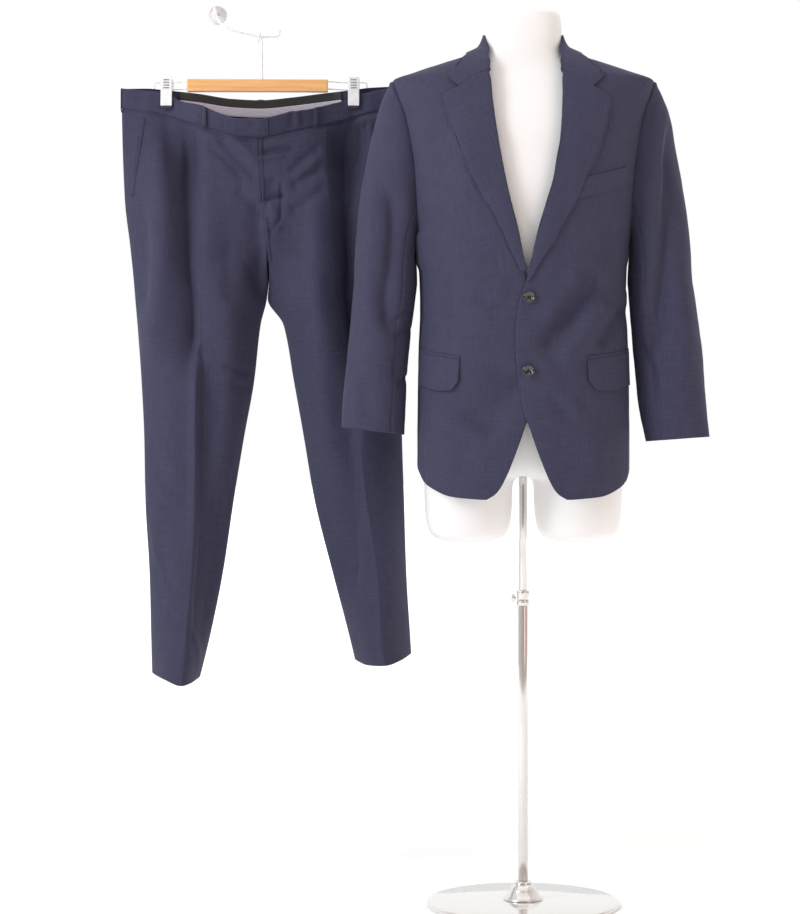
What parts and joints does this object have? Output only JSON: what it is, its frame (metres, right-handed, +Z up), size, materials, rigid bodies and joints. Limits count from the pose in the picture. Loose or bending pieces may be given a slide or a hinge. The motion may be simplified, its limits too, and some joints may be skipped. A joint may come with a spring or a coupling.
{
  "type": "two-piece suit, with its dress form on a stand and its clip hanger on a wall arm",
  "caption": "A navy suit: a notch-lapel jacket on a white dress form with a chrome stand, and its trousers on a wooden clip hanger beside it",
  "frame": {"origin": "on the floor under the stand's pole, at the middle of the base plate's underside", "axes": "+Z up, the suit's front faces -Y, the wearer's left is +X"},
  "size_m": [1.0227, 0.425, 1.5874],
  "materials": {
    "jacket_worsted": "fine navy worsted twill, softly pressed",
    "trouser_worsted": "fine navy worsted twill, pressed creases",
    "charcoal_facing": "matte charcoal facing cloth",
    "lilac_strip": "pale lilac-grey grip strip",
    "horn_button": "polished near-black",
    "white_form": "smooth satin white",
    "chrome_metal": "bright chrome plate",
    "wall_metal": "bright plated wire",
    "beech_bar": "satin lacquered beech",
    "clip_white": "glossy white",
    "clip_rubber": "dark grip pad"
  },
  "bodies": {
    "root": {"base_hub": "chrome_metal", "base_plate": "chrome_metal", "belt_loop_back": "trouser_worsted", "belt_loop_front_left": "trouser_worsted", "belt_loop_front_right": "trouser_worsted", "belt_loop_side_left": "trouser_worsted", "belt_loop_side_right": "trouser_worsted", "breast_welt": "jacket_worsted", "button_lower": "horn_button", "button_upper": "horn_button", "clamp_screw": "chrome_metal", "clip_back_left": "clip_white", "clip_back_right": "clip_white", "clip_front_left": "clip_white", "clip_front_right": "clip_white", "clip_tip_left": "clip_rubber", "clip_tip_right": "clip_rubber", "collar_fall": "jacket_worsted", "collar_stand": "jacket_worsted", "fly_edge": "trouser_worsted", "form_torso": "white_form", "hanger_bar": "beech_bar", "hanger_hook": "chrome_metal", "hanger_wire_left": "chrome_metal", "hanger_wire_right": "chrome_metal", "jacket_back_left": "jacket_worsted", "jacket_back_right": "jacket_worsted", "jacket_front_left": "jacket_worsted", "jacket_front_right": "jacket_worsted", "jacket_side_left": "jacket_worsted", "jacket_side_right": "jacket_worsted", "lapel_left": "jacket_worsted", "lapel_right": "jacket_worsted", "pocket_edge_left": "trouser_worsted", "pocket_edge_right": "trouser_worsted", "pocket_flap_left": "jacket_worsted", "pocket_flap_right": "jacket_worsted", "pocket_jet_left": "jacket_worsted", "pocket_jet_right": "jacket_worsted", "pole_clamp": "chrome_metal", "pole_inner": "chrome_metal", "pole_outer": "chrome_metal", "sleeve_top_left": "jacket_worsted", "sleeve_top_right": "jacket_worsted", "sleeve_under_left": "jacket_worsted", "sleeve_under_right": "jacket_worsted", "trouser_back_left": "trouser_worsted", "trouser_back_right": "trouser_worsted", "trouser_front_left": "trouser_worsted", "trouser_front_right": "trouser_worsted", "waist_facing": "charcoal_facing", "waist_strip": "lilac_strip", "waistband_back": "trouser_worsted", "waistband_front_left": "trouser_worsted", "waistband_front_right": "trouser_worsted", "waistband_tab": "trouser_worsted", "wall_arm": "wall_metal", "wall_plate": "wall_metal"}
  },
  "joints": []
}
